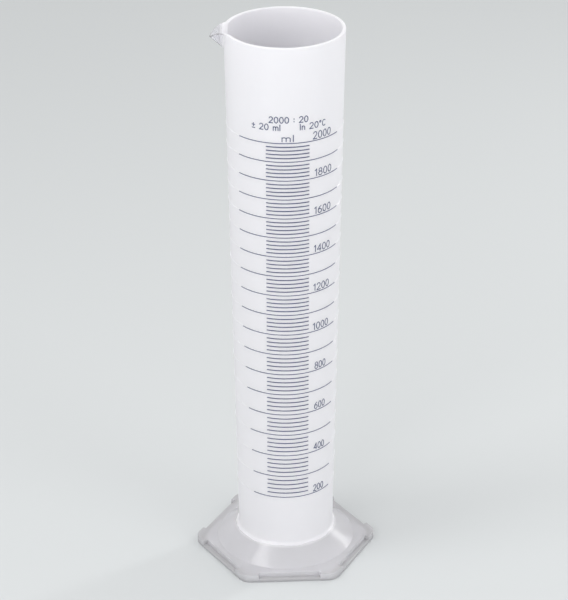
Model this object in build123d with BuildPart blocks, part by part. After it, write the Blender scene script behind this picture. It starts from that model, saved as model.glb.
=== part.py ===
from build123d import *
import os
from math import hypot, pi, radians, sqrt, tan

os.makedirs("parts", exist_ok=True)

# Measuring vessel, lengths in millimetres and volumes in millilitres
capacity = 2000.0
headroom = 80.0
tube_base_diameter = 81.7
draft_angle = 0.98
wall = 2.8
floor_height = 24.4
floor_thickness = 3.0
floor_bevel = 5.0
rim_bevel = 0.6

# Raised scale
first_mark = 200.0
mark_step = 100.0
mark_width = 1.0
mark_height = 0.35
mark_turn = 200.0

# Pouring spout
spout_width = 30.0
spout_reach = 12.2
spout_drop = 8.2
spout_depth = 18.8
spout_wall = 1.6
spout_keel_radius = 3.0
spout_mouth_blend = 2.5
spout_root_blend = 1.5

# Hexagonal foot
foot_across_flats = 137.2
foot_corner_radius = 12.0
foot_height = 6.9
foot_wall = 2.6
foot_edge_bevel = 0.6
ledge_length = 52.5
ledge_width = 4.2
ledge_drop = 3.7
skirt_margin = 4.9
skirt_bevel = 2.0

# Sizes that follow
slope = tan(radians(draft_angle))
skirt_top = floor_height - floor_thickness
skirt_radius = foot_across_flats / 2 - ledge_width - skirt_margin
plate_underside = foot_height - foot_wall
mark_count = int((capacity - first_mark) / mark_step + 0.001) + 1


# Outside radius of the tapered tube at a height
def tube_radius(height):
    return tube_base_diameter / 2 + slope * (height - skirt_top)


# Inside radius of the tapered tube at a height
def bore_radius(height):
    return tube_radius(height) - wall


# Height of the surface when the tapered bore, less the bevel round its floor, holds a volume
def surface_height(volume):
    floor_radius = bore_radius(floor_height)
    bevel_volume = pi * floor_bevel**2 * (floor_radius - floor_bevel / 3)
    radius_cubed = floor_radius**3 + 3 * slope * (volume * 1000 + bevel_volume) / pi
    return floor_height + (radius_cubed ** (1 / 3) - floor_radius) / slope


# The rim and the beak stand above the highest mark
total_height = surface_height(capacity) + headroom
rim_radius = tube_radius(total_height)
spout_base = total_height - spout_depth
spout_root = sqrt(rim_radius**2 - (spout_width / 2) ** 2)
spout_tip = rim_radius + spout_reach
keel_foot = tube_radius(spout_base)
keel_run = (spout_tip - keel_foot) * spout_depth / (spout_depth - spout_drop)
keel_end = keel_foot + keel_run


# Tube wall, floor and hollow cone skirt, turned about the axis
def turned_body():
    skirt_run = skirt_radius - tube_radius(skirt_top)
    skirt_rise = skirt_top - foot_height
    skirt_length = hypot(skirt_run, skirt_rise)
    inner_top = skirt_top - foot_wall * skirt_run / skirt_length
    inner_radius = tube_radius(skirt_top) - foot_wall * skirt_rise / skirt_length
    inner_foot = inner_radius + (inner_top - plate_underside) * skirt_run / skirt_rise
    floor_edge = (bore_radius(floor_height), floor_height)
    skirt_edge = (tube_radius(skirt_top), skirt_top)
    with BuildPart() as body:
        with BuildSketch(Plane.XZ):
            with BuildLine():
                Polyline(
                    (0, floor_height),
                    floor_edge,
                    (bore_radius(total_height), total_height),
                    (rim_radius, total_height),
                    skirt_edge,
                    (skirt_radius, foot_height),
                    (skirt_radius, plate_underside),
                    (inner_foot, plate_underside),
                    (inner_radius, inner_top),
                    (0, inner_top),
                    close=True,
                )
            make_face()
            chamfer(vertices().sort_by_distance(floor_edge)[0], floor_bevel)
            chamfer(vertices().sort_by_distance(skirt_edge)[0], skirt_bevel)
        revolve(axis=Axis.Z)
    return body.part


# Ridges of triangular section at the long marks, with their middle at the front
def long_marks():
    start = Plane.XZ.rotated((0, 0, -90 - mark_turn / 2))
    with BuildPart() as marks:
        with BuildSketch(start):
            for i in range(mark_count):
                level = surface_height(first_mark + i * mark_step)
                below = level - mark_width / 2
                above = level + mark_width / 2
                with BuildLine():
                    Polyline(
                        (tube_radius(level) - wall / 4, below),
                        (tube_radius(below), below),
                        (tube_radius(level) + mark_height, level),
                        (tube_radius(above), above),
                        (tube_radius(level) - wall / 4, above),
                        close=True,
                    )
                make_face()
        revolve(axis=Axis.Z, revolution_arc=mark_turn)
    return marks.part


# The wedge that the beak and its channel share, its keel rising from the wall to beyond the tip
def spout_wedge(inset):
    back = spout_root - spout_width / 2
    back_half_width = (keel_end - back) * spout_width / 2 / (keel_end - spout_root)
    with BuildPart() as wedge:
        with BuildSketch(Plane.XY.offset(total_height)) as mouth:
            with BuildLine():
                Polyline(
                    (inset - keel_end, 0),
                    (inset - back, back_half_width),
                    (inset - back, -back_half_width),
                    close=True,
                )
            make_face()
            fillet(vertices().sort_by(Axis.X)[0], spout_keel_radius)
        loft(sections=[Vertex(inset - keel_foot, 0, spout_base), mouth.sketch])
    return wedge.part


# Solid beak, cut back so that it starts inside the tube's wall
def beak():
    with BuildPart() as wedge:
        add(spout_wedge(0))
        with BuildSketch(Plane.XY.offset(spout_base)):
            Circle(rim_radius - wall / 2)
        extrude(amount=spout_depth, mode=Mode.SUBTRACT)
    return wedge.part


# Space above the lip, which leaves the rim level and curves down to the tip
def lip_clearance():
    with BuildPart() as clearance:
        with BuildSketch(Plane.XZ):
            with BuildLine():
                lip = TangentArc(
                    (-spout_root, total_height),
                    (-spout_tip, total_height - spout_drop),
                    tangent=(-1, 0),
                )
                Polyline(
                    lip @ 1,
                    (-keel_end, total_height - spout_drop),
                    (-keel_end, total_height + spout_drop),
                    (-spout_root, total_height + spout_drop),
                    lip @ 0,
                )
            make_face()
        extrude(amount=spout_width, both=True)
    return clearance.part


# How far the channel's wedge moves in to leave the spout's wall on both of its slanting faces
def channel_inset():
    along_keel = Vector(-keel_run, 0, spout_depth)
    along_mouth = Vector(keel_end - spout_root, spout_width / 2, 0)
    face_normal = along_keel.cross(along_mouth).normalized()
    return spout_wall / abs(face_normal.X)


# Edges of the spout that lie on the tapered wall, whose radius at a height is given
def creases(wall_radius):
    def lies_on_wall(edge):
        points = [edge @ share for share in (0.1, 0.5, 0.9)]
        return all(abs(hypot(point.X, point.Y) - wall_radius(point.Z)) < 0.01 for point in points)

    near_spout = edges().filter_by_position(Axis.Z, spout_base - 1, total_height - 1)
    return near_spout.filter_by(lies_on_wall)


# Hexagonal plate with a lowered ledge along each side, hollow underneath
def foot_plate():
    apothem = foot_across_flats / 2
    hollow_apothem = apothem - ledge_width - foot_wall
    with BuildPart() as plate:
        with BuildSketch():
            RegularPolygon(radius=apothem, side_count=6, major_radius=False)
            fillet(vertices(), foot_corner_radius)
        extrude(amount=foot_height)
        chamfer(edges().group_by(Axis.Z)[-1], foot_edge_bevel)
        with BuildSketch(Plane.XY.offset(foot_height)):
            with PolarLocations(apothem, 6, start_angle=30):
                Rectangle(2 * ledge_width, ledge_length)
        extrude(amount=-ledge_drop, mode=Mode.SUBTRACT)
        with BuildSketch():
            RegularPolygon(radius=hollow_apothem, side_count=6, major_radius=False)
            fillet(vertices(), foot_corner_radius - foot_wall)
        extrude(amount=plate_underside, mode=Mode.SUBTRACT)
        with BuildSketch():
            Circle(skirt_radius)
        extrude(amount=foot_height, mode=Mode.SUBTRACT)
    return plate.part


with BuildPart() as graduated_cylinder:
    # Vessel with its beak, lip and channel
    add(turned_body())
    add(beak())
    add(lip_clearance(), mode=Mode.SUBTRACT)
    add(spout_wedge(channel_inset()), mode=Mode.SUBTRACT)

    # Soft creases and a bevelled rim
    fillet(creases(bore_radius), spout_mouth_blend)
    fillet(creases(tube_radius), spout_root_blend)
    rim_lines = faces().sort_by(Axis.Z)[-1].edges()
    lip_lines = faces().filter_by(GeomType.CYLINDER).sort_by(Axis.Z)[-1].edges()
    chamfer((rim_lines + lip_lines) - (rim_lines & lip_lines), rim_bevel)

    # Foot and raised scale
    add(foot_plate())
    add(long_marks())

graduated_cylinder.part.label = "graduated_cylinder"
export_step(graduated_cylinder.part, "parts/graduated_cylinder.step")
print("height", round(total_height, 2), "rim diameter", round(2 * rim_radius, 2))
print("volume", round(graduated_cylinder.part.volume / 1000, 1), "cubic centimetres")
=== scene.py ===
# %% [markdown]
# # A tall plastic measuring cylinder
#
# The object is one injection moulding in milky polypropylene: a tapered tube, a raised
# scale, a beak at the rim and a hollow six-sided foot, with the scale printed in dark
# blue ink. The solid model gives every size and place. This lesson dresses it: one
# smooth skin for the moulding, low ridges for the short marks, ink for lines and
# figures, a finish for the plastic and one for the print, a pale table, soft lamps and
# a camera.

import bpy
import numpy as np
from mathutils import Matrix, Vector


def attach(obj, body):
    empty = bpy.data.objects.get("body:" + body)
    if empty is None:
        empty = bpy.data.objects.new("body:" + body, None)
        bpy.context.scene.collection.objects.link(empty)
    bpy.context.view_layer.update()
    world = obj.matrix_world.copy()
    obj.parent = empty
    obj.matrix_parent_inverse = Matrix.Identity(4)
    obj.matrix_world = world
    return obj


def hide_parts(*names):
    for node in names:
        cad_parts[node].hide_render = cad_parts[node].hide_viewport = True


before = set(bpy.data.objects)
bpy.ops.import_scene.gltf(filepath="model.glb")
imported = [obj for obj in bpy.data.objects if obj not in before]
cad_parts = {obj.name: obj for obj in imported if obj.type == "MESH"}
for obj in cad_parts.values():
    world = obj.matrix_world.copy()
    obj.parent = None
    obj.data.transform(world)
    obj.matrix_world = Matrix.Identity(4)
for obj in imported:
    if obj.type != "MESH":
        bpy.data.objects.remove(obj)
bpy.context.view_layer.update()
MM = 0.001

# %% [markdown]
# ## Sizes of the vessel
#
# The mould has a draft of one degree, so the tube widens upwards and the marks draw
# closer together. A mark's height could be measured on the photograph, but it is truer
# to work it out: a cone's volume grows with the cube of its radius, so the height at
# which the bore holds a volume follows from the bore at the floor.

# %% Sizes in millimetres
SLOPE = np.tan(np.radians(0.98))
TUBE_BASE = 81.7 / 2
WALL = 2.8
FLOOR = 24.4
SKIRT_TOP = 21.4
FLOOR_BEVEL = 5.0
HEADROOM = 80.0


def tube_radius(z):
    """Outside radius of the tube, a straight line in the height."""
    return TUBE_BASE + SLOPE * (z - SKIRT_TOP)


def bore_radius(z):
    """Inside radius, one wall less than outside."""
    return tube_radius(z) - WALL


def mark_height(volume):
    """Height at which the cone-shaped bore holds the volume, given in millilitres."""
    floor_radius = bore_radius(FLOOR)
    bevel_volume = np.pi * FLOOR_BEVEL**2 * (floor_radius - FLOOR_BEVEL / 3)
    cubed = floor_radius**3 + 3 * SLOPE * (volume * 1000 + bevel_volume) / np.pi
    return FLOOR + (np.cbrt(cubed) - floor_radius) / SLOPE


MAIN_VOLUMES = np.arange(200, 2001, 100)
SHORT_VOLUMES = np.array([v for v in np.arange(220, 2000, 20) if v % 100])
HEIGHT = mark_height(2000) + HEADROOM
print("height", round(HEIGHT, 2), "main marks", len(MAIN_VOLUMES), "short", len(SHORT_VOLUMES))

# %% [markdown]
# ## Columns round the moulding
#
# The whole moulding is one closed skin. Cut it by a half-plane through the axis and the
# cut is a single line, from the middle of the underside, out round the foot, up the
# tube, over the rim, down the bore and in to the middle of the floor. So the skin can
# be a grid: columns go round the axis and rows follow that line. Columns are closest
# where the foot turns its corners and ledges and where the beak stands out.

# %% Column angles
SIXTH, LEDGE_TURN, STEP_TURN = np.radians([60.0, 21.0, 0.15])


def sector_steps(ledge_count, corner_count):
    """Angles from a side's middle to its corner, even before and after the ledge's end."""
    return np.concatenate([
        np.linspace(0, LEDGE_TURN - STEP_TURN, ledge_count),
        np.linspace(LEDGE_TURN + STEP_TURN, SIXTH / 2, corner_count),
    ])


def side_turns(before, after):
    """Angles from the middle of one side, from one corner to just before the next."""
    return np.concatenate([-before[:0:-1], after[:-1]])


coarse, fine = sector_steps(9, 10), sector_steps(34, 20)
column_side, column_turn = [], []
for side in range(6):
    turns = side_turns(fine if side == 3 else coarse, fine if side == 2 else coarse)
    column_side.append(np.full(len(turns), np.radians(30 + 60 * side)))
    column_turn.append(turns)
column_side = np.concatenate(column_side)
column_turn = np.concatenate(column_turn)
column_angle = column_side + column_turn
print("columns", len(column_angle))

# %% [markdown]
# ## Rounded hexagon
#
# The foot is a hexagon with round corners and, along each side, a lowered ledge that
# stops short of the corners. A hexagon's outline can be written as a radius for each
# angle, but then the ledge's square ends would be cut aslant. Here each column keeps its
# distance along the side on every row instead, so the ledge ends stay square.

# %% Outline of the foot
FLAT, CORNER = 68.6, 12.0
LEDGE_HALF, LEDGE_WIDTH = 26.25, 4.2


def hexagon(inwards):
    """Points of the foot's outline moved inwards by a distance, one per column.

    Up to the end of the ledge a point's distance along its side grows with the tangent
    of its angle. From there it walks the outline at an even pace, first straight, then
    round the corner's circle.
    """
    apothem, corner = FLAT - inwards, CORNER - inwards
    turn = np.abs(column_turn)
    along = LEDGE_HALF * np.tan(turn) / np.tan(LEDGE_TURN)
    centre = (apothem - corner) * np.tan(SIXTH / 2)
    straight = centre - LEDGE_HALF
    walked = (turn - LEDGE_TURN) / (SIXTH / 2 - LEDGE_TURN) * (straight + corner * SIXTH / 2)
    bend = np.clip((walked - straight) / corner, 0, None)
    beyond = turn > LEDGE_TURN
    out = np.where(beyond, apothem - corner + corner * np.cos(bend), apothem)
    along = np.where(
        beyond,
        np.where(bend > 0, centre + corner * np.sin(bend), LEDGE_HALF + walked),
        along,
    )
    along = along * np.sign(column_turn)
    x = out * np.cos(column_side) - along * np.sin(column_side)
    y = out * np.sin(column_side) + along * np.cos(column_side)
    return x, y


def ring(radius):
    """Points of a circle, one per column; the radius may differ from column to column."""
    return radius * np.cos(column_angle), radius * np.sin(column_angle)


on_ledge = np.abs(column_turn) < LEDGE_TURN
print("outline corners at", np.round(np.max(np.abs(hexagon(0.0)[0])), 2), "mm")

# %% [markdown]
# ## The beak
#
# A beak is a wedge that grows out of the wall: its keel leaves the tube below the rim
# and runs outwards as it rises, and its two cheeks spread by the same angle at every
# height. At one height the wedge is a straight-sided V, which in polar form is a radius
# for each angle. Taking the larger of tube and wedge joins them, and a softened maximum
# leaves the small blend that a mould has. The same wedge, moved inwards, cuts the
# channel, and the lip falls away along a circle's arc.

# %% Beak and lip
BEAK_WIDTH, BEAK_REACH, BEAK_DROP, BEAK_DEPTH = 30.0, 12.2, 8.2, 18.8
CHANNEL_INSET = 3.58
KEEL_ROUNDNESS, GROOVE_ROUNDNESS = 0.03, 0.02
ROOT_BLEND, MOUTH_BLEND = 0.5, 1.5


def turned_from(direction):
    """Angle between each column and a direction, the shorter way round."""
    return np.abs((column_angle - direction + np.pi) % (2 * np.pi) - np.pi)


RIM = tube_radius(HEIGHT)
ROOT = np.sqrt(RIM**2 - (BEAK_WIDTH / 2) ** 2)
TIP = RIM + BEAK_REACH
BEAK_BASE = HEIGHT - BEAK_DEPTH
KEEL_FOOT = tube_radius(BEAK_BASE)
KEEL_RUN = (TIP - KEEL_FOOT) * BEAK_DEPTH / (BEAK_DEPTH - BEAK_DROP)
SPREAD = BEAK_WIDTH / 2 / (KEEL_FOOT + KEEL_RUN - ROOT)
LIP_ARC = ((TIP - ROOT) ** 2 + BEAK_DROP**2) / (2 * BEAK_DROP)
from_beak = turned_from(np.pi)


def soft_max(a, b, blend):
    """The larger of two values, rounded where they cross: half of their sum plus the root of
    their squared difference and the squared blend."""
    return (a + b + np.sqrt((a - b) ** 2 + blend**2)) / 2


def wedge_radius(z, inset, roundness):
    """Radius of the V at a height: keel distance times spread over sine plus spread times cosine."""
    keel = KEEL_FOOT + KEEL_RUN * (z - BEAK_BASE) / BEAK_DEPTH - inset
    sine = np.sqrt(np.sin(from_beak) ** 2 + roundness**2)
    return keel * SPREAD / (sine + SPREAD * np.cos(from_beak))


def facing_beak(radius):
    """The wedge counts only on the beak's side of the axis; elsewhere its radius is nothing."""
    return np.where(from_beak < SIXTH, radius, 0.0)


def outer_radius(z):
    """Tube and beak together, per column."""
    return soft_max(tube_radius(z), facing_beak(wedge_radius(z, 0.0, KEEL_ROUNDNESS)), ROOT_BLEND)


def inner_radius(z):
    """Bore and channel together, per column."""
    channel = facing_beak(wedge_radius(z, CHANNEL_INSET, GROOVE_ROUNDNESS))
    return soft_max(bore_radius(z), channel, MOUTH_BLEND)


def lip_height(radius):
    """Height of the top edge: level to the beak's root, then down a circle's arc to the tip."""
    out = np.clip(radius * np.cos(from_beak) - ROOT, 0, LIP_ARC)
    return HEIGHT - LIP_ARC + np.sqrt(LIP_ARC**2 - out**2)


def edge_height(radius_at):
    """Height at which each column of a wall meets the lip, found by halving."""
    low, high = np.full(len(column_angle), BEAK_BASE), np.full(len(column_angle), HEIGHT)
    for _ in range(40):
        middle = (low + high) / 2
        below = middle < lip_height(radius_at(middle))
        low, high = np.where(below, middle, low), np.where(below, high, middle)
    return middle


outer_edge = edge_height(outer_radius)
inner_edge = edge_height(inner_radius)
print("lip falls", round(HEIGHT - outer_edge.min(), 2), "mm, reaches",
      round((outer_radius(outer_edge) * np.cos(from_beak)).max(), 2), "mm from the axis")

# %% [markdown]
# ## Rows of the skin
#
# Now the rows follow the cut line from the middle of the underside to the middle of the
# floor. Straight stretches need few rows, and corners get an arc of rows, because a
# mould's edges are never quite sharp. A lathe and booleans could make the same shape,
# but a grid gives clean shading on the long tube and on the beak's blends.

# %% Helpers for rows
rows = []


def add_row(xy, z):
    """One row: the same number of points all round, at one height or a height per column."""
    x, y = xy
    rows.append(np.stack([x, y, np.broadcast_to(z, x.shape)], axis=-1))


def add_circles(profile):
    """A row for each radius and height of a profile."""
    for radius, z in profile:
        add_row(ring(radius), z)


def by_place(on, off):
    """A row that differs on the ledges and on the corners between them."""
    return tuple(np.where(on_ledge, a, b) for a, b in zip(on, off))


def arc_between(before, corner, after, radius, steps):
    """Arc that rounds a profile's corner: its centre plus a radius that turns evenly."""
    before, corner, after = (np.array(p, float) for p in (before, corner, after))
    a = (before - corner) / np.linalg.norm(before - corner)
    b = (after - corner) / np.linalg.norm(after - corner)
    half = np.arccos(np.clip(a @ b, -1, 1)) / 2
    centre = corner + (a + b) / np.linalg.norm(a + b) * radius / np.sin(half)
    first = corner + a * radius / np.tan(half) - centre
    last = corner + b * radius / np.tan(half) - centre
    sweep = np.pi - 2 * half
    share = np.linspace(0, 1, steps)[:, None]
    turning = np.sin((1 - share) * sweep) * first + np.sin(share * sweep) * last
    return centre + turning / np.sin(sweep)


print("a right angle rounded by 1 passes", np.round(arc_between((0, 1), (0, 0), (1, 0), 1.0, 3)[1], 3))

# %% [markdown]
# ## The hollow under the foot
#
# A moulding cools evenly when its wall is even, so the skirt and the foot are hollow from
# below, with the same wall as above. The underside could be left flat, since it is hardly
# seen, but light that passes through the foot shows that it is hollow. So the rows start
# there, on the lower face of the tube's floor, and come down inside the skirt.

# %% Rows of the underside
SKIRT_RADIUS, PLATE_TOP, PLATE_UNDERSIDE, FOOT_WALL = 59.5, 6.9, 4.3, 2.6
run, rise = SKIRT_RADIUS - TUBE_BASE, SKIRT_TOP - PLATE_TOP
slant = np.hypot(run, rise)
cone_top = (TUBE_BASE - FOOT_WALL * rise / slant, SKIRT_TOP - FOOT_WALL * run / slant)
cone_foot = (cone_top[0] + (cone_top[1] - PLATE_UNDERSIDE) * run / rise, PLATE_UNDERSIDE)
under_centre = (0.0, 0.0, cone_top[1])
hollow = LEDGE_WIDTH + FOOT_WALL
CONE_TOP_ROUND, CONE_FOOT_ROUND = 1.5, 1.0

add_circles((radius, cone_top[1]) for radius in (6.0, 14.0, 22.0, 30.0))
add_circles(arc_between((0, cone_top[1]), cone_top, cone_foot, CONE_TOP_ROUND, 4))
add_circles(np.linspace(cone_top, cone_foot, 5)[1:-1])
add_circles(arc_between(cone_top, cone_foot, (FLAT, PLATE_UNDERSIDE), CONE_FOOT_ROUND, 4))
add_row(hexagon(hollow + 0.4), PLATE_UNDERSIDE)
add_row(hexagon(hollow), PLATE_UNDERSIDE - 0.4)
add_row(hexagon(hollow), 0.3)
add_row(hexagon(hollow - 0.3), 0.0)
print("hollow under the foot is", round(cone_top[1], 1), "mm high")

# %% [markdown]
# ## Foot and ledges
#
# The foot stands on a narrow rim, and each side of its plate has a lowered ledge. The
# ledges could be cut out with a boolean, but that breaks up the grid. Every row runs
# right round, so a row is written for both places: how far inwards and how high it lies
# on a ledge and on the corners between. Where a ledge has its riser, the corners get
# rows on the flat plate, which keeps all faces well shaped.

# %% Rows of the foot
LEDGE_TOP = 3.2
EDGE = 0.6
for inwards, z in ((EDGE, 0.0), (0.2, 0.15), (0.0, EDGE)):
    add_row(hexagon(inwards), z)
for inwards, down in ((0.0, EDGE), (0.15, 0.25), (0.35, 0.05), (EDGE, 0.0)):
    add_row(hexagon(inwards), np.where(on_ledge, LEDGE_TOP, PLATE_TOP) - down)
for from_riser, ledge_z, corner_inwards in ((-0.5, LEDGE_TOP, 2.6), (-0.1, LEDGE_TOP + 0.1, 3.4),
                                            (0.0, LEDGE_TOP + 0.5, 3.8), (0.0, PLATE_TOP - 0.4, 4.2),
                                            (0.1, PLATE_TOP - 0.1, 4.5), (0.5, PLATE_TOP, 4.8)):
    add_row(by_place(hexagon(LEDGE_WIDTH + from_riser), hexagon(corner_inwards)),
            np.where(on_ledge, ledge_z, PLATE_TOP))
print("rows with the foot", len(rows))

# %% [markdown]
# ## Skirt and ringed tube
#
# The skirt is a plain cone that runs into the tube with a small blend. On the tube stand
# the raised rings of the long marks. Each could be a body of its own, but in the mould it
# is a groove, so it is part of the skin: rows close together carry a low bell shape that
# fades out towards the back.

# %% Rows of the skirt and the tube
RING_HALF, RING_CREST = 0.5, 0.35
RING_TURN, RING_FADE = np.radians([100.0, 1.5])
ring_share = np.clip((RING_TURN - turned_from(-np.pi / 2)) / RING_FADE, 0, 1)


def bell(offset, half_width):
    """A cosine bell: one in the middle, nothing at half the width and beyond."""
    return 0.5 + 0.5 * np.cos(np.pi * np.clip(offset / half_width, -1, 1))


SKIRT_FOOT_ROUND, SKIRT_HEAD_ROUND = 0.8, 2.5
skirt_foot, skirt_head = (SKIRT_RADIUS, PLATE_TOP), (TUBE_BASE, SKIRT_TOP)
tube_head = (tube_radius(HEIGHT), HEIGHT)
add_circles(arc_between((FLAT, PLATE_TOP), skirt_foot, skirt_head, SKIRT_FOOT_ROUND, 4))
add_circles(np.linspace(skirt_foot, skirt_head, 6)[1:-1])
add_circles(arc_between(skirt_foot, skirt_head, tube_head, SKIRT_HEAD_ROUND, 7))

mark_levels = mark_height(MAIN_VOLUMES)
offsets = np.array([-1.0, -0.5, -0.36, -0.2, 0.0, 0.2, 0.36, 0.5, 1.0])
near_rings = (mark_levels[:, None] + offsets).ravel()
between_rings = (mark_levels[1:] + mark_levels[:-1]) / 2
plain_levels = [30, 40, 50, 60, 408, 420, 432, 445]
for z in np.sort(np.concatenate([near_rings, between_rings, plain_levels])):
    offset = z - mark_levels[np.argmin(np.abs(mark_levels - z))]
    add_row(ring(tube_radius(z) + RING_CREST * bell(offset, RING_HALF) * ring_share), z)
print("rows up to the beak", len(rows))

# %% [markdown]
# ## Rim, channel and bore
#
# The rim is rounded by a few rows that come in over the edge. On the beak the same rows
# follow the lip down, because their height is the lip's height at their own radius. Then
# the rows go down the channel and the bore to the rounded corner of the floor.

# %% Rows of the rim and the bore
BEAK_ROWS = np.linspace(0, 1, 26)
RIM_ROUND = ((0.05, 0.3), (0.18, 0.12), (0.35, 0.03), (EDGE, 0.0))
FLOOR_ROUND = 5.0
edge_out, edge_in = outer_radius(outer_edge), inner_radius(inner_edge)
for share in BEAK_ROWS:
    z = BEAK_BASE + share * (outer_edge - EDGE - BEAK_BASE)
    add_row(ring(outer_radius(z)), z)
for inwards, down in RIM_ROUND:
    add_row(ring(edge_out - inwards), lip_height(edge_out - inwards) - down)
for share in (0.35, 0.65):
    radius = edge_out - EDGE + share * (edge_in - edge_out + 2 * EDGE)
    add_row(ring(radius), lip_height(radius))
for inwards, down in RIM_ROUND[::-1]:
    add_row(ring(edge_in + inwards), lip_height(edge_in + inwards) - down)
for share in BEAK_ROWS[::-1]:
    z = BEAK_BASE + share * (inner_edge - EDGE - BEAK_BASE)
    add_row(ring(inner_radius(z)), z)
bore_levels = np.linspace(BEAK_BASE, FLOOR + 8, 16)[1:]
add_circles((bore_radius(z), z) for z in bore_levels)
bore_head, floor_edge = (bore_radius(HEIGHT), HEIGHT), (bore_radius(FLOOR), FLOOR)
add_circles(arc_between(bore_head, floor_edge, (0, FLOOR), FLOOR_ROUND, 7))
add_circles((radius, FLOOR) for radius in (26.0, 18.0, 10.0, 4.0))
floor_centre = (0.0, 0.0, FLOOR)
print("rows", len(rows), "points", len(rows) * len(column_angle))

# %% [markdown]
# ## From rows to a mesh
#
# Neighbouring rows and columns make a four-sided face, the last column joins the first,
# and a fan of triangles closes each end. The order of the corners sets which way a face
# looks. The volume inside the mesh proves it: it is positive only when the faces look
# outwards, and it should match the solid model's plastic.

# %% Mesh helpers
CREASE = np.radians(40.0)


def make_piece(name, points, faces):
    """A smooth mesh object at the origin, from points in millimetres; sharp folds stay sharp."""
    mesh = bpy.data.meshes.new(name)
    mesh.from_pydata((np.asarray(points) * MM).tolist(), [], faces)
    mesh.update()
    mesh.shade_smooth()
    mesh.set_sharp_from_angle(angle=CREASE)
    piece = bpy.data.objects.new(name, mesh)
    bpy.context.scene.collection.objects.link(piece)
    return piece


def enclosed_volume(piece):
    """Volume in cubic centimetres: a sixth of the sum, over the triangles, of a dot b cross c.

    It is positive when the faces look outwards.
    """
    mesh = piece.data
    mesh.calc_loop_triangles()
    corners = np.empty(len(mesh.loop_triangles) * 3, dtype=np.int32)
    mesh.loop_triangles.foreach_get("vertices", corners)
    places = np.empty(len(mesh.vertices) * 3)
    mesh.vertices.foreach_get("co", places)
    a, b, c = places.reshape(-1, 3)[corners.reshape(-1, 3)].transpose(1, 0, 2)
    return np.einsum("ij,ij->i", a, np.cross(b, c)).sum() / 6 * 1e6


print("folds stay sharp above", round(np.degrees(CREASE)), "degrees")

# %% Skin of the moulding
grid = np.stack(rows)
row_count, column_count = grid.shape[:2]
row, column = np.meshgrid(np.arange(row_count - 1), np.arange(column_count), indexing="ij")
start, ahead = row * column_count, (column + 1) % column_count
quads = np.stack([start + column, start + ahead,
                  start + column_count + ahead, start + column_count + column], axis=-1)
index = np.arange(column_count)
next_index = (index + 1) % column_count
last_row = (row_count - 1) * column_count
under_pole, floor_pole = (np.full(column_count, grid[..., 0].size + i) for i in (0, 1))
under_fan = np.stack([under_pole, next_index, index], axis=-1)
floor_fan = np.stack([last_row + index, last_row + next_index, floor_pole], axis=-1)
skin_points = np.concatenate([grid.reshape(-1, 3), [under_centre, floor_centre]])
skin_faces = quads.reshape(-1, 4).tolist() + under_fan.tolist() + floor_fan.tolist()
moulding = make_piece("cylinder_moulding", skin_points, skin_faces)
print("skin holds", round(enclosed_volume(moulding), 1), "cubic centimetres of plastic")

# %% [markdown]
# ## Where the plastic is clearer
#
# The beak and the foot let more light through than the tube, as they have only one wall
# between eye and background. The material needs to know these places. A painted picture
# could say so, but the shape already does: both stand out from the tube's cone. So each
# point keeps a number, nothing on the cone and rising with the distance beyond it.

# %% Clearness per point
CLEAR_START, CLEAR_RUN = 0.8, 3.0
BEAK_CLEAR, FOOT_CLEAR = 1.0, 0.55
beyond_tube = np.hypot(skin_points[:, 0], skin_points[:, 1]) - tube_radius(skin_points[:, 2])
strength = np.where(skin_points[:, 2] > BEAK_BASE, BEAK_CLEAR, FOOT_CLEAR)
clearness = np.clip((beyond_tube - CLEAR_START) / CLEAR_RUN, 0, 1) * strength
attribute = moulding.data.attributes.new("clear", "FLOAT", "POINT")
attribute.data.foreach_set("value", clearness)
print("clear points", int((clearness > 0).sum()), "of", len(clearness))

# %% [markdown]
# ## Marks of the scale
#
# Between the rings stand short ridges, four to each hundred millilitres. They are low
# bars with a soft crest, bent round the wall. They could be rows of the skin like the
# rings, but they end where the print ends, so each is a closed bar of its own, sunk a
# little into the wall: a profile carried along an arc.

# %% Short ridges
def bent_bars(levels, left, right, half_width, height, sink, steps):
    """Closed bars round the wall, one per level, each a profile carried along an arc.

    The arc is the angle from left to right. The profile runs over the bar and back inside
    the wall: radius is the tube's plus the profile's height, z is the level plus its offset.
    """
    over = np.linspace(-half_width, half_width, 7)
    across = np.concatenate([over, [half_width, -half_width]])
    proud = np.concatenate([height(over), [-sink, -sink]])
    angle = left[:, None] + (right - left)[:, None] * np.linspace(0, 1, steps)
    z = levels[:, None, None] + across[None, None, :] + 0 * angle[:, :, None]
    radius = tube_radius(z) + proud
    turn = angle[:, :, None] - np.pi / 2
    points = np.stack([radius * np.cos(turn), radius * np.sin(turn), z], axis=-1)
    sides = len(across)
    bar = np.arange(len(levels))[:, None] * steps * sides
    i, j = np.arange(steps - 1)[None, :, None], np.arange(sides)[None, None, :]
    here, there = bar[:, :, None] + i * sides, bar[:, :, None] + (i + 1) * sides
    after = (j + 1) % sides
    body = np.stack(np.broadcast_arrays(here + j, there + j, there + after, here + after), axis=-1)
    near = bar + np.arange(sides)
    far = (near + (steps - 1) * sides)[:, ::-1]
    return points.reshape(-1, 3), body.reshape(-1, 4).tolist() + near.tolist() + far.tolist()


SHORT_HALF_LENGTH = 17.2
RIDGE_HALF, RIDGE_CREST, RIDGE_FOOT, RIDGE_SINK = 0.8, 0.3, 0.02, 0.4
SHORT_STEPS = 16


def ridge_height(offset):
    """Height of a short ridge over its width, a bell on a thin base."""
    return RIDGE_CREST * bell(offset, RIDGE_HALF) + RIDGE_FOOT


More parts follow.
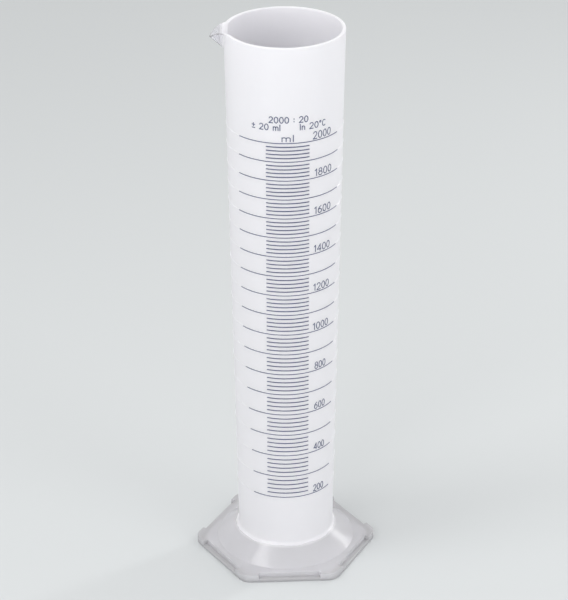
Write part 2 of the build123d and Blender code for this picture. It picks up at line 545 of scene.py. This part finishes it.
short_levels = mark_height(SHORT_VOLUMES)
short_turn = np.arcsin(SHORT_HALF_LENGTH / tube_radius(short_levels))
ridges = make_piece("short_ridges", *bent_bars(
    short_levels, -short_turn, short_turn, RIDGE_HALF, ridge_height, RIDGE_SINK, SHORT_STEPS))
print("ridges with their sunk part", round(enclosed_volume(ridges), 3), "cubic centimetres")

# %% [markdown]
# ## Printed lines
#
# The ink is rolled on to whatever stands proud, so a line lies on each ridge and each
# ring, a little narrower than they are. Its ends wander a little, as print does on a
# taper. Each line is the same bar again, with the crest below it raised by a film's
# thickness.

# %% Ink lines
def joined(shapes):
    """Points and faces of several shapes as one; face numbers move on by the points before."""
    starts = np.cumsum([0] + [len(points) for points, _ in shapes])
    faces = [[v + int(start) for v in face] for start, (_, own) in zip(starts, shapes) for face in own]
    return np.concatenate([points for points, _ in shapes]), faces


INK_FILM, INK_SINK = 0.05, 0.2
LONG_INK_HALF, SHORT_INK_HALF = 0.36, 0.42
LONG_STEPS = 40
long_left = np.radians(np.interp(MAIN_VOLUMES, [200, 300, 500, 600, 900, 1100, 1600, 2000],
                                 [-43.0, -43.0, -46.0, -48.0, -53.0, -55.5, -55.8, -52.6]))
long_right = np.radians(np.interp(MAIN_VOLUMES, [200, 600, 1100, 1600, 1900, 2000],
                                  [58.0, 60.0, 61.3, 61.0, 60.0, 58.0]))
long_lines = bent_bars(
    mark_levels, long_left, long_right, LONG_INK_HALF,
    lambda offset: RING_CREST * bell(offset, RING_HALF) + INK_FILM, INK_SINK, LONG_STEPS)
short_lines = bent_bars(
    short_levels, -short_turn, short_turn, SHORT_INK_HALF,
    lambda offset: ridge_height(offset) + INK_FILM, INK_SINK, SHORT_STEPS)
lines = make_piece("scale_lines", *joined([long_lines, short_lines]))
print("ink lines with their sunk part", round(enclosed_volume(lines), 4), "cubic centimetres")

# %% [markdown]
# ## Figures and notes in ink
#
# The figures are printed with a plain technical lettering of even line width. Each sign
# is a few strokes in a box one unit high: straight lines and parts of ellipses. A stroke
# becomes a ribbon by moving its points half the line's width to both sides, and the
# ribbon is wrapped round the wall by turning lengths into angles. That keeps the
# figures sharp at any size, which a picture of them would not.

# %% Signs made of strokes
def arc(cx, cy, rx, ry, start, stop, count=26):
    """Part of an ellipse: centre plus radii times cosine and sine of an angle in degrees."""
    t = np.radians(np.linspace(start, stop, count))
    return np.stack([cx + rx * np.cos(t), cy + ry * np.sin(t)], axis=-1)


def line(*points):
    """Straight stroke, or one with corners."""
    return np.array(points, float)


def arch(cx, cy, rx, ry):
    """Arch of a small letter with its leg: half an ellipse, then straight down to the base."""
    return np.concatenate([arc(cx, cy, rx, ry, 175, 0), line((cx + rx, 0))])


# Width of each sign and its strokes
SIGNS = {
    "0": (0.56, [arc(0.28, 0.5, 0.28, 0.5, 0, 366)]),
    "1": (0.34, [line((0.26, 0), (0.26, 1)), line((0.26, 0.98), (0.04, 0.78))]),
    "2": (0.56, [np.concatenate([arc(0.28, 0.71, 0.26, 0.29, 165, -28), line((0.0, 0.0))]),
                 line((-0.03, 0.0), (0.57, 0.0))]),
    "4": (0.6, [line((0.44, 0), (0.44, 1)), line((0.46, 0.99), (0.0, 0.3)),
                line((-0.03, 0.27), (0.6, 0.27))]),
    "6": (0.56, [arc(0.28, 0.3, 0.27, 0.3, 0, 366), arc(0.62, 0.28, 0.61, 0.72, 178, 105)]),
    "8": (0.56, [arc(0.28, 0.26, 0.28, 0.26, 0, 366), arc(0.28, 0.76, 0.23, 0.24, 0, 366)]),
    "m": (0.72, [line((0, 0), (0, 0.64)), arch(0.18, 0.44, 0.18, 0.19), arch(0.54, 0.44, 0.18, 0.19)]),
    "l": (0.06, [line((0.03, 0), (0.03, 1))]),
    "n": (0.38, [line((0, 0), (0, 0.64)), arch(0.19, 0.42, 0.19, 0.21)]),
    "I": (0.06, [line((0.03, 0), (0.03, 1))]),
    "C": (0.52, [arc(0.3, 0.5, 0.3, 0.5, 48, 312)]),
    "\u00b0": (0.26, [arc(0.12, 0.88, 0.12, 0.14, 0, 366)]),
    ":": (0.1, [line((0.05, 0.16), (0.05, 0.28)), line((0.05, 0.6), (0.05, 0.72))]),
    "\u00b1": (0.5, [line((0.25, 0.3), (0.25, 0.86)), line((0, 0.58), (0.5, 0.58)),
                     line((0, 0.05), (0.5, 0.05))]),
    " ": (0.28, []),
}
SIGN_GAP = 0.24
print("signs", len(SIGNS))

# %% [markdown]
# ## Ribbons on the wall
#
# A stroke of ink is a thin ribbon with a little thickness, and its underside is sunk
# into the plastic so that no gap can show. Text objects could be bent round the tube
# with a modifier, but with ribbons a text is set by the angle it spans, which is what
# a photograph of a round thing shows.

# %% Ribbons and texts
STROKE_HALF, STROKE_FILM, STROKE_SINK = 0.36, 0.06, 0.15
STROKE_CAP = 0.6


def ribbon(path, angle, z):
    """A stroke, given in millimetres, as a closed thin shell on the wall.

    Every point moves half a width to both sides of the way ahead, and the ends reach out
    by a share of that. Lengths across become angles by the tube's radius; the radius is
    the tube's plus the film, or less the sink.
    """
    ahead = np.gradient(path, axis=0)
    ahead /= np.linalg.norm(ahead, axis=1, keepdims=True)
    sideways = np.stack([ahead[:, 1], -ahead[:, 0]], axis=-1) * STROKE_HALF
    reach = np.zeros_like(path)
    reach[0], reach[-1] = -ahead[0], ahead[-1]
    path = path + reach * STROKE_HALF * STROKE_CAP
    edges = np.stack([path - sideways, path - sideways, path + sideways, path + sideways], axis=1)
    level = z + edges[..., 1]
    radius = tube_radius(level) + np.array([-STROKE_SINK, STROKE_FILM, STROKE_FILM, -STROKE_SINK])
    turn = angle + edges[..., 0] / tube_radius(z) - np.pi / 2
    points = np.stack([radius * np.cos(turn), radius * np.sin(turn), level], axis=-1)
    here, edge = 4 * np.arange(len(path) - 1)[:, None], np.arange(4)
    there, after = here + 4, (edge + 1) % 4
    body = np.stack([here + edge, here + after, there + after, there + edge], axis=-1)
    end = 4 * (len(path) - 1)
    caps = [[3, 2, 1, 0], [end, end + 1, end + 2, end + 3]]
    return points.reshape(-1, 3), body.reshape(-1, 4).tolist() + caps


def lettering(texts):
    """Ribbons of texts, each with its middle angle and span in degrees, base height and size.

    A sign is squeezed across by the arc that the text spans over the length it would have.
    """
    ribbons = []
    for text, middle, span, z, size in texts:
        widths = [SIGNS[sign][0] for sign in text]
        length = (sum(widths) + SIGN_GAP * (len(text) - 1)) * size
        squeeze = np.radians(span) * tube_radius(z) / length
        pen = -length / 2
        for sign, width in zip(text, widths):
            for stroke in SIGNS[sign][1]:
                path = stroke * [squeeze * size, size] + [pen * squeeze, 0.0]
                ribbons.append(ribbon(path, np.radians(middle), z))
            pen += (width + SIGN_GAP) * size
    return joined(ribbons)


print("a zero has", len(lettering([("0", 0.0, 5.0, HEIGHT / 2, 6.0)])[1]), "faces")

# %% [markdown]
# ## Where the texts stand
#
# Every second ring has its volume printed above its right part. Above the highest ring
# stand the unit and the generic notes on volume, tolerance and temperature. Their
# places are angles from the middle of the scale, positive to the right, because the
# print runs round the tube and a length would be off where the tube turns away.

# %% Figures at the rings
FIGURE_SIZE, FIGURE_LIFT = 6.0, 1.5
THREE_SIGNS, FOUR_SIGNS = 15.0, 21.2
figure_volumes = np.arange(200, 2001, 200)
figure_middles = np.interp(figure_volumes, [200, 1000, 1800, 2000], [39.5, 38.6, 38.3, 36.1])
figures = [(str(volume), middle, FOUR_SIGNS if volume >= 1000 else THREE_SIGNS,
            mark_height(volume) + FIGURE_LIFT, FIGURE_SIZE)
           for volume, middle in zip(figure_volumes, figure_middles)]
numerals = make_piece("scale_numerals", *lettering(figures))
print("figures", len(figures), "enclose", round(enclosed_volume(numerals), 4), "cubic centimetres")

# %% Notes above the scale
NOTE_SIZE, UNIT_SIZE = 5.0, 5.6
top_mark = mark_height(2000)
unit_base, lower_base, upper_base = top_mark + 1.5, top_mark + 11.0, top_mark + 17.5
notes = [
    ("2000 : 20", 0.8, 37.6, upper_base, NOTE_SIZE),
    ("\u00b1 20 ml", -21.6, 28.5, lower_base, NOTE_SIZE),
    ("In 20\u00b0C", 25.5, 27.5, lower_base, NOTE_SIZE),
    ("ml", 0.0, 11.2, unit_base, UNIT_SIZE),
]
remarks = make_piece("volume_notes", *lettering(notes))
print("notes", len(notes), "enclose", round(enclosed_volume(remarks), 4), "cubic centimetres")

# %% [markdown]
# ## Milky polypropylene
#
# Polypropylene lets light through but scatters it, so the wall glows like frosted ice
# and shows the far side only as a blur. Glass with a rough surface would come out too
# clear and too dark, so one Principled shader shares the light out: a part passes on
# through a rough surface, and the rest is scattered just under it.

# %% Body of the plastic
def shader(name):
    """A new material with one Principled shader; returns material, node tree and shader."""
    material = bpy.data.materials.new(name)
    material.use_nodes = True
    tree = material.node_tree
    return material, tree, tree.nodes["Principled BSDF"]


milky, tree, plastic = shader("milky_polypropylene")
plastic.inputs["Base Color"].default_value = (0.94, 0.93, 0.975, 1)
plastic.inputs["IOR"].default_value = 1.49
plastic.inputs["Subsurface Weight"].default_value = 0.35
plastic.inputs["Subsurface Radius"].default_value = (1.0, 1.0, 1.0)
plastic.inputs["Subsurface Scale"].default_value = 0.006
print("plastic scatters over", round(plastic.inputs["Subsurface Scale"].default_value / MM, 1), "mm")

# %% [markdown]
# ## Clear places and satin surface
#
# The number kept at each point now steers the plastic: where it is high, at the beak and
# the foot, more light passes and the surface is smoother. A faint noise in the roughness
# keeps the satin surface from looking like paint. Two materials could do it as well, but
# they would meet in a hard line that the moulding doesn't have.

# %% Clearness in the plastic
def ranged(tree, source, low, high):
    """A value between 0 and 1 spread over a new range."""
    spread = tree.nodes.new("ShaderNodeMapRange")
    spread.inputs["To Min"].default_value = low
    spread.inputs["To Max"].default_value = high
    tree.links.new(source, spread.inputs["Value"])
    return spread.outputs["Result"]


def noise(tree, scale):
    """Soft noise in the object's own coordinates."""
    place = tree.nodes.new("ShaderNodeTexCoord")
    grain = tree.nodes.new("ShaderNodeTexNoise")
    grain.inputs["Scale"].default_value = scale
    tree.links.new(place.outputs["Object"], grain.inputs["Vector"])
    return grain.outputs["Fac"]


MILKY_PASSES, CLEAR_PASSES = 0.2, 0.85
MILKY_ROUGHNESS, CLEAR_ROUGHNESS, UNEVENNESS = 0.26, 0.14, 0.08
CLOUD_SCALE = 60.0
kept_number = tree.nodes.new("ShaderNodeAttribute")
kept_number.attribute_name = "clear"
clear_share = kept_number.outputs["Fac"]
passed_on = ranged(tree, clear_share, MILKY_PASSES, CLEAR_PASSES)
tree.links.new(passed_on, plastic.inputs["Transmission Weight"])
satin = tree.nodes.new("ShaderNodeMath")
satin.operation = "ADD"
tree.links.new(ranged(tree, clear_share, MILKY_ROUGHNESS, CLEAR_ROUGHNESS), satin.inputs[0])
tree.links.new(ranged(tree, noise(tree, CLOUD_SCALE), 0.0, UNEVENNESS), satin.inputs[1])
tree.links.new(satin.outputs["Value"], plastic.inputs["Roughness"])
print("plastic is made of", len(tree.nodes), "nodes")

# %% [markdown]
# ## Printing ink
#
# The ink is a dark blue film without much gloss. One flat colour would do from afar, but
# a fine noise between two close blues gives it the uneven cover of print.

# %% Ink
SPECKLE_SCALE = 900.0
ink, tree, print_shader = shader("printing_ink")
tone = tree.nodes.new("ShaderNodeValToRGB")
tone.color_ramp.elements[0].color = (0.030, 0.045, 0.12, 1)
tone.color_ramp.elements[1].color = (0.06, 0.08, 0.18, 1)
tree.links.new(noise(tree, SPECKLE_SCALE), tone.inputs["Fac"])
tree.links.new(tone.outputs["Color"], print_shader.inputs["Base Color"])
print_shader.inputs["Roughness"].default_value = 0.55
print("ink is made of", len(tree.nodes), "nodes")

# %% [markdown]
# ## Finishes on the pieces
#
# Skin and ridges are the same plastic, and all print is the same ink. Every piece is
# fixed to the one body of the solid model, and the skin takes the place of that
# model's plain surface.

# %% Materials and places in the frame
for piece in (moulding, ridges):
    piece.data.materials.append(milky)
for piece in (lines, numerals, remarks):
    piece.data.materials.append(ink)
for piece in (moulding, ridges, lines, numerals, remarks):
    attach(piece, "root")
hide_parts("graduated_cylinder")
print("materials", [m.name for m in bpy.data.materials])

# %% [markdown]
# ## Table and room
#
# A translucent thing takes its grey from what stands round it, so a pale matt table and
# a pale even room show it best. The room could be a built box with walls, but a plain
# world colour lights the plastic from all sides without a seam.

# %% Table and backdrop
TABLE_HALF, ROOM_STRENGTH = 3.0, 0.85
corners = [(-TABLE_HALF, -TABLE_HALF, 0), (TABLE_HALF, -TABLE_HALF, 0),
           (TABLE_HALF, TABLE_HALF, 0), (-TABLE_HALF, TABLE_HALF, 0)]
floor_mesh = bpy.data.meshes.new("table")
floor_mesh.from_pydata(corners, [], [(0, 1, 2, 3)])
table = bpy.data.objects.new("table", floor_mesh)
bpy.context.scene.collection.objects.link(table)
surface, tree, paint = shader("table_paint")
paint.inputs["Base Color"].default_value = (0.60, 0.62, 0.625, 1)
paint.inputs["Roughness"].default_value = 0.9
floor_mesh.materials.append(surface)

world = bpy.data.worlds.new("room")
bpy.context.scene.world = world
world.use_nodes = True
background = world.node_tree.nodes["Background"]
background.inputs["Color"].default_value = (1, 1, 1, 1)
background.inputs["Strength"].default_value = ROOM_STRENGTH
bpy.context.scene.view_settings.view_transform = "Standard"
print("table is", 2 * TABLE_HALF, "metres wide")

# %% [markdown]
# ## Soft lamps
#
# A glossy round thing shows its lamps as streaks, so their shapes matter more than their
# power. A small lamp high on the left is what the bright streak on the skirt reflects.
# Two broad lamps, one on each side of the camera, fill the front. A narrow, tall one
# behind on the right is there for a line of light along the tube's edge.

# %% Four area lamps
def lamp(name, place, aim, size, watts):
    """A rectangular soft lamp that faces a point; its size is width and height in metres."""
    light = bpy.data.lights.new(name, "AREA")
    light.shape = "RECTANGLE"
    light.size, light.size_y = size
    light.energy = watts
    stand = bpy.data.objects.new(name, light)
    stand.location = place
    stand.rotation_euler = (Vector(aim) - Vector(place)).to_track_quat("-Z", "Y").to_euler()
    bpy.context.scene.collection.objects.link(stand)


lamp("key_lamp", (-0.62, -0.2, 1.75), (0, 0, 0.1), (0.36, 0.9), 6)
lamp("front_lamp", (-0.9, -1.7, 0.9), (0, 0, 0.25), (1.0, 1.0), 10)
lamp("fill_lamp", (1.5, -1.3, 0.7), (0, 0, 0.2), (1.0, 1.0), 8)
lamp("edge_lamp", (1.2, 0.82, 0.95), (0, 0, 0.2), (0.16, 1.2), 5)
print("lamps", [light.name for light in bpy.data.lights])

# %% [markdown]
# ## Camera
#
# The camera stands about two metres away, a little to the left of the scale's middle,
# and looks down at the cylinder. Its place, turn and focal length were fitted to the
# marks, the rim and the foot of the real thing. A camera could be aimed with a
# constraint, but a matrix holds a fitted place exactly: its columns are right, up and
# the opposite of the way the camera looks, worked out from pitch and roll, and the turn
# about the tube's axis comes last.

# %% Camera
FOCAL_PIXELS, LONG_SIDE, SHIFT_PIXELS = 2368.29, 600, -1.217
SENSOR_WIDTH = 36.0
TURN, PITCH, ROLL = 0.0493298, 0.4680503, -0.0020495
STAND_BACK, STAND_UP = 1.7691863, 1.1299029
away = Vector((0.0, np.cos(PITCH), -np.sin(PITCH)))
right = Vector((1.0, 0.0, 0.0))
up = right.cross(away)
right_rolled = np.cos(ROLL) * right + np.sin(ROLL) * up
up_rolled = -np.sin(ROLL) * right + np.cos(ROLL) * up
facing = Matrix((right_rolled, up_rolled, -away)).transposed().to_4x4()
camera_data = bpy.data.cameras.new("camera")
camera_data.sensor_width = SENSOR_WIDTH
camera_data.lens = FOCAL_PIXELS / LONG_SIDE * SENSOR_WIDTH
camera_data.shift_x = SHIFT_PIXELS / LONG_SIDE
camera = bpy.data.objects.new("camera", camera_data)
camera.matrix_world = (Matrix.Rotation(-TURN, 4, "Z")
                       @ Matrix.Translation((0.0, -STAND_BACK, STAND_UP)) @ facing)
bpy.context.scene.collection.objects.link(camera)
bpy.context.scene.camera = camera
print("camera at", [round(v, 4) for v in camera.matrix_world.translation])
